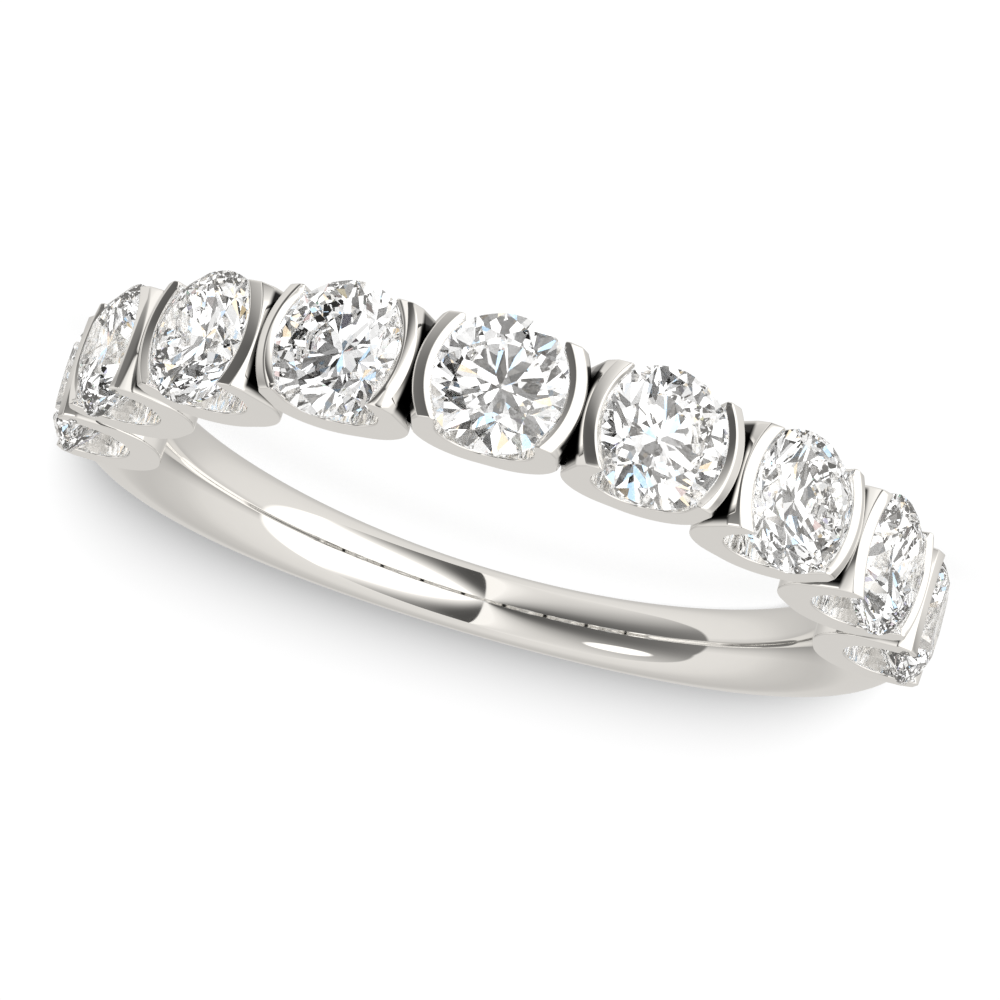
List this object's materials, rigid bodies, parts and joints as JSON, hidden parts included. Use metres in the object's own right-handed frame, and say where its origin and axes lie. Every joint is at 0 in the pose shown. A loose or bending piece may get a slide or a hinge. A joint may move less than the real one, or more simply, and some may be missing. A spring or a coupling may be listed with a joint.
{
  "type": "diamond wedding band",
  "caption": "Wedding band lying on its side: a row of round brilliant stones, each held between two upright bars on an open cup, with an oval shank closing the loop.",
  "frame": {"origin": "on the finger axis, on the surface that the ring lies on", "axes": "+Z along the finger axis and up, -Y towards the centre stone, +X towards stone_1"},
  "size_m": [0.021, 0.0201, 0.0032],
  "materials": {
    "white_gold": "polished rhodium-plated white gold",
    "diamond": "clear, flat polished facets"
  },
  "bodies": {
    "root": {"band": "white_gold", "stone_1": "diamond", "stone_2": "diamond", "stone_3": "diamond", "stone_4": "diamond", "stone_5": "diamond", "stone_6": "diamond", "stone_7": "diamond", "stone_8": "diamond", "stone_9": "diamond"}
  },
  "joints": []
}
